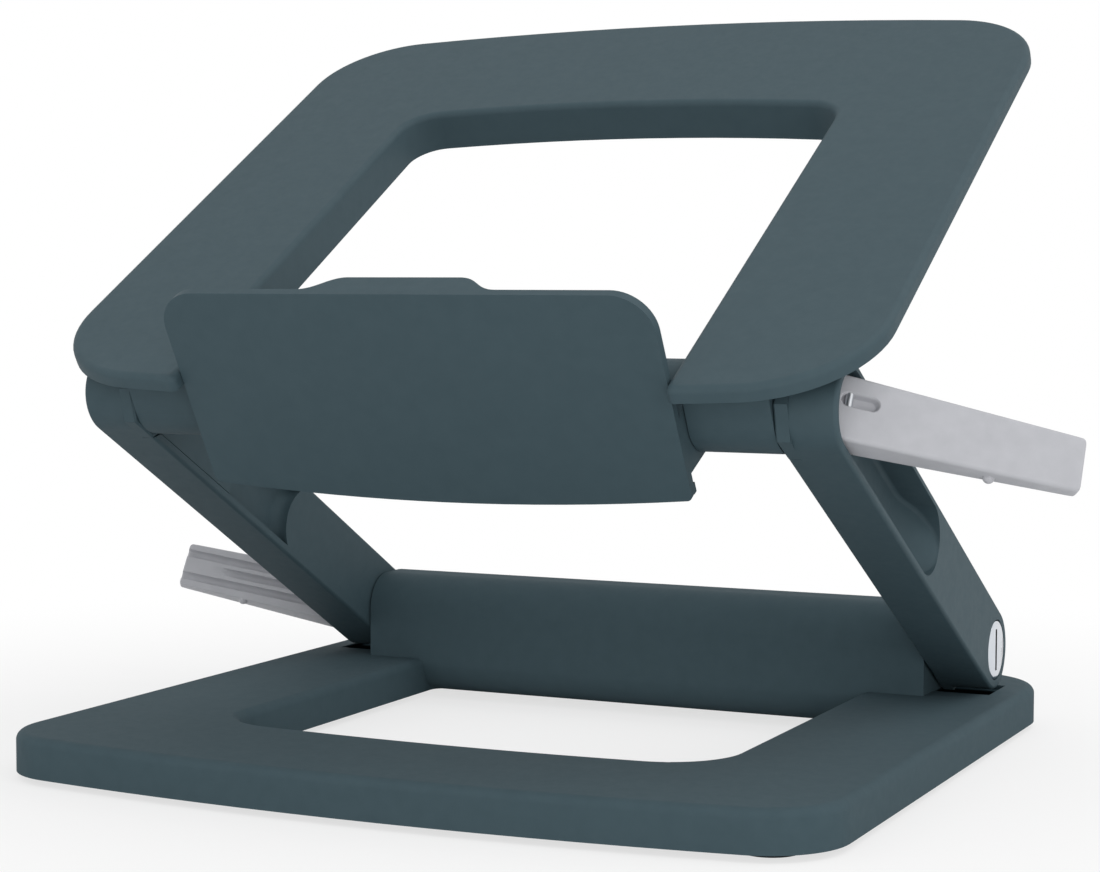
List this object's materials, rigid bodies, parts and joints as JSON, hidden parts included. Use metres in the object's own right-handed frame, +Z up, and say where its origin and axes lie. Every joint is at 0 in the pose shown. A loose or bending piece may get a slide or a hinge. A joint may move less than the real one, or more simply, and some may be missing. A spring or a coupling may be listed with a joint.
{
  "type": "adjustable laptop stand",
  "caption": "Folding laptop stand: two parallel arms carry an open tray with a fold-down front stop over a rounded frame base, with a swing-out bar in each arm.",
  "frame": {"origin": "on the table, under the middle of the stand's outline seen from above", "axes": "+X to the viewer's right along the hinges, +Y to the back, +Z up; the flap is at the front"},
  "size_m": [0.3816, 0.27, 0.2558],
  "materials": {
    "slate_plastic": "satin, fine moulded texture, dark blue-grey",
    "light_plastic": "satin, light grey",
    "cap_chrome": "polished",
    "foot_rubber": "matt black",
    "shaft_steel": "ground",
    "dark_steel": "blackened",
    "bush_plastic": "matt black"
  },
  "bodies": {
    "base": {"base_frame": "slate_plastic", "base_cover": "slate_plastic", "cover_screws": "dark_steel", "foot_front_left": "foot_rubber", "foot_front_right": "foot_rubber", "foot_rear_left": "foot_rubber", "foot_rear_right": "foot_rubber", "beam_bush_left": "bush_plastic", "beam_bush_right": "bush_plastic"},
    "arms": {"right_arm": "slate_plastic", "left_arm": "slate_plastic", "lower_shaft": "shaft_steel", "upper_shaft": "shaft_steel", "hinge_cover_right": "slate_plastic", "hinge_cover_left": "slate_plastic", "tray_plate_right": "slate_plastic", "tray_plate_left": "slate_plastic", "beam_plate_right": "slate_plastic", "beam_plate_left": "slate_plastic", "pivot_cap_right": "cap_chrome", "pivot_cap_left": "cap_chrome", "beam_washer_left": "bush_plastic", "beam_washer_right": "bush_plastic", "right_bar_pin": "cap_chrome", "left_bar_pin": "cap_chrome"},
    "tray": {"tray_frame": "slate_plastic", "tray_bush_left": "bush_plastic", "tray_bush_right": "bush_plastic"},
    "flap": {"flap": "slate_plastic", "flap_bush_left": "bush_plastic", "flap_bush_right": "bush_plastic"},
    "right_bar": {"right_bar": "light_plastic", "right_bar_catch": "cap_chrome"},
    "left_bar": {"left_bar": "light_plastic", "left_bar_catch": "cap_chrome"}
  },
  "joints": [
    {"name": "arms_tilt", "type": "hinge", "parent": "base", "child": "arms", "pos_m": [0, 0.0949, 0.0294], "axis": [1, 0, 0], "range_deg": [-45, 24]},
    {"name": "tray_tilt", "type": "hinge", "parent": "arms", "child": "tray", "pos_m": [0, -0.07122, 0.12224], "axis": [-1, 0, 0], "range_deg": [-30, 59]},
    {"name": "flap_fold", "type": "hinge", "parent": "tray", "child": "flap", "pos_m": [0, -0.07122, 0.12224], "axis": [-1, 0, 0], "range_deg": [0, 90]},
    {"name": "right_bar_swing", "type": "hinge", "parent": "arms", "child": "right_bar", "pos_m": [0.124, -0.06947, 0.12126], "axis": [0, 0.4879, 0.8729], "range_deg": [0, 61]},
    {"name": "left_bar_swing", "type": "hinge", "parent": "arms", "child": "left_bar", "pos_m": [-0.124, 0.09315, 0.03038], "axis": [0, 0.4879, 0.8729], "range_deg": [0, 61]}
  ]
}
